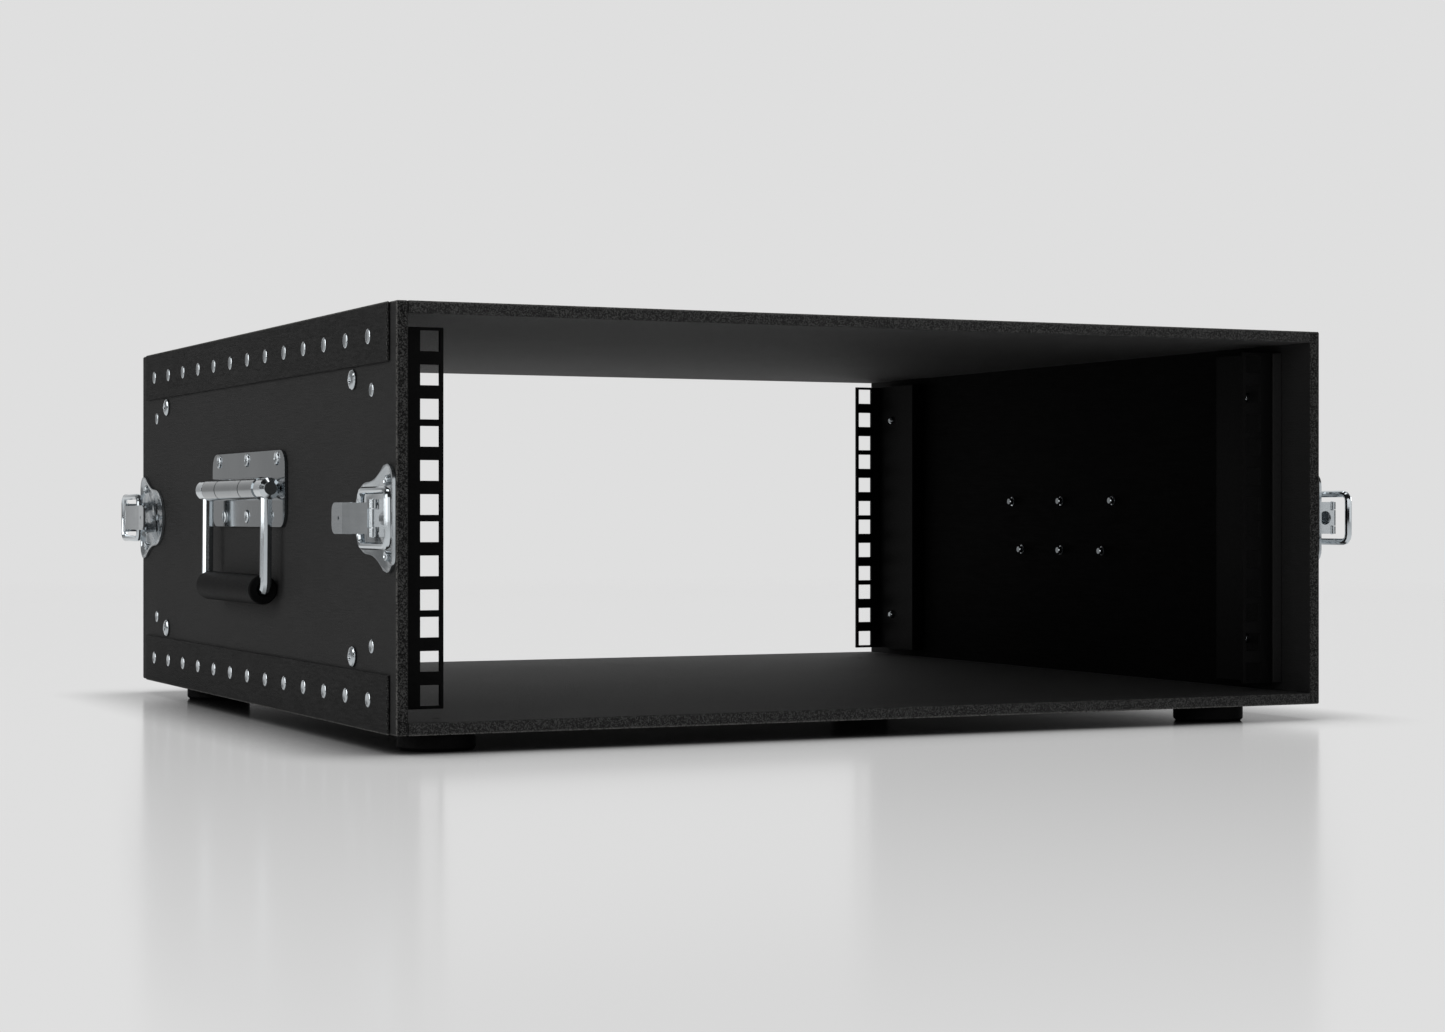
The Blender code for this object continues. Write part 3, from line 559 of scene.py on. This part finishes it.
def cup_profile(radius, height, hole=0.0):
    """A pressed rivet head: low rounded rim round a shallow bowl, with a hole where it is blind."""
    points = [(0.0, -SINK), (radius, -SINK)]
    points += [(share * radius, level * height) for share, level in RIM]
    points += [(share * BOWL_RADIUS * radius, level * height) for share, level in BOWL]
    if hole:
        floor = HOLE_FLOOR * height
        points += [(hole, HOLE_EDGE * height), (HOLE_TAPER * hole, floor), (0.0, floor)]
    else:
        points.append((0.0, BOWL_FLOOR * height))
    return points


def tail_profile():
    """The closed end of a blind rivet: a short brim and a blunt stem."""
    brim = TAIL_BRIM_SHARE * TAIL_RADIUS
    return [
        (0.0, -SINK),
        (brim, -SINK),
        (brim, TAIL_BRIM),
        (TAIL_RADIUS, TAIL_NECK),
        (TAIL_RADIUS, TAIL_HEIGHT - TAIL_ROUND),
        (TAIL_END_SHARE * TAIL_RADIUS, TAIL_HEIGHT),
        (0.0, TAIL_HEIGHT),
    ]


# ---------------------------------------------------------------------- pieces


def body_of_node():
    bodies = frame["record"]["behaviour"]["bodies"]
    return {node: body for body, nodes in bodies.items() for node in nodes}


def dress_nodes(materials):
    """Refined copies of every CAD node, each family with its own edge radius."""
    bodies = body_of_node()
    for node in sorted(frame["nodes"]):
        _, material, bevel, segments = next(row for row in FAMILIES if node.startswith(row[0]))
        refined_copy(node, materials[material], bodies[node], bevel, segments)


def add_strip_rivets(material):
    profile = cup_profile(STRIP_RIVET_RADIUS, STRIP_RIVET_HEIGHT)
    heights = {"top": SHELL_TOP - STRIP_RIVET_EDGE, "bottom": SHELL_BOTTOM + STRIP_RIVET_EDGE}
    middle = (STRIP_RIVETS - 1) / 2
    along = [(i - middle) * STRIP_RIVET_PITCH for i in range(STRIP_RIVETS)]
    for level, z in heights.items():
        for name, side in SIDES.items():
            places = [facing(side, side * strip_high.x, y, z) for y in along]
            rivet_row(f"strip_rivets_{level}_{name}", profile, places, HEAD_SEGMENTS, material)


def add_corner_rivets(material):
    profile = cup_profile(CORNER_RIVET_RADIUS, CORNER_RIVET_HEIGHT)
    for name, side in SIDES.items():
        places = [
            facing(side, side * HALF_W, y * CORNER_RIVET_Y, MID_Z + z * CORNER_RIVET_Z)
            for y in (-1, 1) for z in (-1, 1)
        ]
        rivet_row(f"corner_rivets_{name}", profile, places, HEAD_SEGMENTS, material)


def add_handle_rivets(material):
    """Heads on the handle plates, and their tails inside the side panels."""
    heads = cup_profile(PLATE_RIVET_RADIUS, PLATE_RIVET_HEIGHT, PLATE_RIVET_HOLE)
    tails = tail_profile()
    for name, side in SIDES.items():
        plate_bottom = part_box(f"handle_plate_{name}")[0].z
        points = [(y, plate_bottom + height) for height, row in PLATE_RIVETS for y in row]
        outer = [facing(side, side * (HALF_W + PLATE_FACE), y, z) for y, z in points]
        inner = [facing(-side, side * INNER_X, y, z) for y, z in points]
        rivet_row(f"handle_rivets_{name}", heads, outer, HEAD_SEGMENTS, material)
        rivet_row(f"handle_rivet_tails_{name}", tails, inner, TAIL_SEGMENTS, material)


def add_latch_rivets(material):
    profile = cup_profile(LATCH_RIVET_RADIUS, LATCH_RIVET_HEIGHT, LATCH_RIVET_HOLE)
    for name, side in SIDES.items():
        x = side * (HALF_W + LATCH_FACE)
        for end_name, end in ENDS.items():
            y = end * (HALF_D - LATCH_RIVET_V)
            places = [facing(side, x, y, MID_Z + level * LATCH_RIVET_Z) for level in (-1, 1)]
            row = f"latch_rivets_{end_name}_{name}"
            rivet_row(row, profile, places, SMALL_HEAD_SEGMENTS, material)


# ----------------------------------------------------------------------- stage


def add_floor():
    """A pale floor with a soft reflection and a contact shadow, fading into the background."""
    mesh = bpy.data.meshes.new("floor")
    half = FLOOR_SIZE / 2
    corners = [(-half, -half, 0), (half, -half, 0), (half, half, 0), (-half, half, 0)]
    mesh.from_pydata(corners, [], [(0, 1, 2, 3)])
    floor = bpy.data.objects.new("floor", mesh)
    bpy.context.scene.collection.objects.link(floor)
    nodes = Nodes("pale_floor")
    nodes.tree.nodes.remove(nodes.shader)
    closeness = nodes.add("ShaderNodeAmbientOcclusion", samples=SHADOW_SAMPLES)
    closeness.inputs["Distance"].default_value = SHADOW_REACH
    shade = nodes.math("POWER", closeness.outputs["AO"], SHADOW_POWER)
    glow = nodes.add("ShaderNodeEmission")
    glow.inputs["Color"].default_value = (PALE, PALE, PALE, 1.0)
    nodes.link(shade, glow.inputs["Strength"])
    gloss = nodes.add("ShaderNodeBsdfGlossy")
    gloss.inputs["Color"].default_value = (1, 1, 1, 1)
    gloss.inputs["Roughness"].default_value = FLOOR_ROUGHNESS
    share = nodes.add("ShaderNodeFresnel")
    share.inputs["IOR"].default_value = FLOOR_IOR
    mixed = nodes.add("ShaderNodeMixShader")
    nodes.link(share.outputs[0], mixed.inputs["Fac"])
    nodes.link(glow.outputs[0], mixed.inputs[1])
    nodes.link(gloss.outputs[0], mixed.inputs[2])
    distance = nodes.add("ShaderNodeVectorMath", operation="LENGTH")
    nodes.link(nodes.place, distance.inputs[0])
    away = nodes.remap(distance.outputs["Value"], FADE_START, FADE_END, smooth=True)
    clear = nodes.add("ShaderNodeBsdfTransparent")
    faded = nodes.add("ShaderNodeMixShader")
    nodes.link(away, faded.inputs["Fac"])
    nodes.link(mixed.outputs[0], faded.inputs[1])
    nodes.link(clear.outputs[0], faded.inputs[2])
    output = next(node for node in nodes.tree.nodes if node.type == "OUTPUT_MATERIAL")
    nodes.link(faded.outputs[0], output.inputs["Surface"])
    mesh.materials.append(nodes.material)
    return floor


def world_range(tree, value, limits, low, high, interpolation):
    """Maps a value between two limits to a range from low to high."""
    node = tree.nodes.new("ShaderNodeMapRange")
    node.interpolation_type = interpolation
    tree.links.new(value, node.inputs["Value"])
    node.inputs["From Min"].default_value, node.inputs["From Max"].default_value = limits
    node.inputs["To Min"].default_value = low
    node.inputs["To Max"].default_value = high
    return node.outputs["Result"]


def add_world():
    """Pale to the camera; as a light, pale behind the case, darker to the left and in front."""
    world = bpy.data.worlds.new("studio")
    bpy.context.scene.world = world
    world.use_nodes = True
    tree = world.node_tree
    background = tree.nodes["Background"]
    direction = tree.nodes.new("ShaderNodeTexCoord")
    split = tree.nodes.new("ShaderNodeSeparateXYZ")
    tree.links.new(direction.outputs["Generated"], split.inputs[0])
    depth = world_range(tree, split.outputs["Y"], DEPTH_RANGE, FRONT_GLOW, PALE, "SMOOTHSTEP")
    dusk = world_range(tree, split.outputs["X"], DUSK_RANGE, DUSK_LEAST, 1.0, "LINEAR")
    glow = tree.nodes.new("ShaderNodeMath")
    glow.operation = "MULTIPLY"
    tree.links.new(depth, glow.inputs[0])
    tree.links.new(dusk, glow.inputs[1])
    rays = tree.nodes.new("ShaderNodeLightPath")
    pick = tree.nodes.new("ShaderNodeMix")
    tree.links.new(rays.outputs["Is Camera Ray"], pick.inputs["Factor"])
    tree.links.new(glow.outputs[0], pick.inputs["A"])
    pick.inputs["B"].default_value = PALE
    tree.links.new(pick.outputs["Result"], background.inputs["Strength"])
    background.inputs["Color"].default_value = (1, 1, 1, 1)


def all_but(floor):
    """What the softboxes light: everything but the floor, which glows and only mirrors the case."""
    lit = bpy.data.collections.new("all_but_floor")
    lit.objects.link(floor)
    lit.collection_objects[0].light_linking.link_state = "EXCLUDE"
    return lit


def add_softbox(name, place, size, power, lit):
    light = bpy.data.lights.new(name, "AREA")
    light.shape = "RECTANGLE"
    light.size, light.size_y = size
    light.energy = power
    lamp = bpy.data.objects.new(name, light)
    bpy.context.scene.collection.objects.link(lamp)
    lamp.location = place
    lamp.visible_camera = False
    lamp.light_linking.receiver_collection = lit
    lamp.rotation_euler = (Vector(AIM) - Vector(place)).to_track_quat("-Z", "Y").to_euler()


def add_lights(floor):
    lit = all_but(floor)
    for row in SOFTBOXES:
        add_softbox(*row, lit)


def add_camera():
    camera = bpy.data.cameras.new("camera")
    camera.sensor_width = SENSOR_WIDTH
    camera.lens = CAMERA_LENS
    camera.clip_start = CLIP_START
    viewer = bpy.data.objects.new("camera", camera)
    bpy.context.scene.collection.objects.link(viewer)
    viewer.location = CAMERA_PLACE
    viewer.rotation_euler = (math.radians(CAMERA_PITCH), 0, math.radians(CAMERA_YAW))
    bpy.context.scene.camera = viewer


def main():
    bpy.context.scene.view_settings.view_transform = "Standard"
    add_camera()
    materials = make_materials()
    dress_nodes(materials)
    add_strip_rivets(materials["zinc_turned"])
    add_corner_rivets(materials["zinc_turned"])
    add_handle_rivets(materials["zinc_turned"])
    add_latch_rivets(materials["zinc_turned"])
    floor = add_floor()
    add_world()
    add_lights(floor)


main()
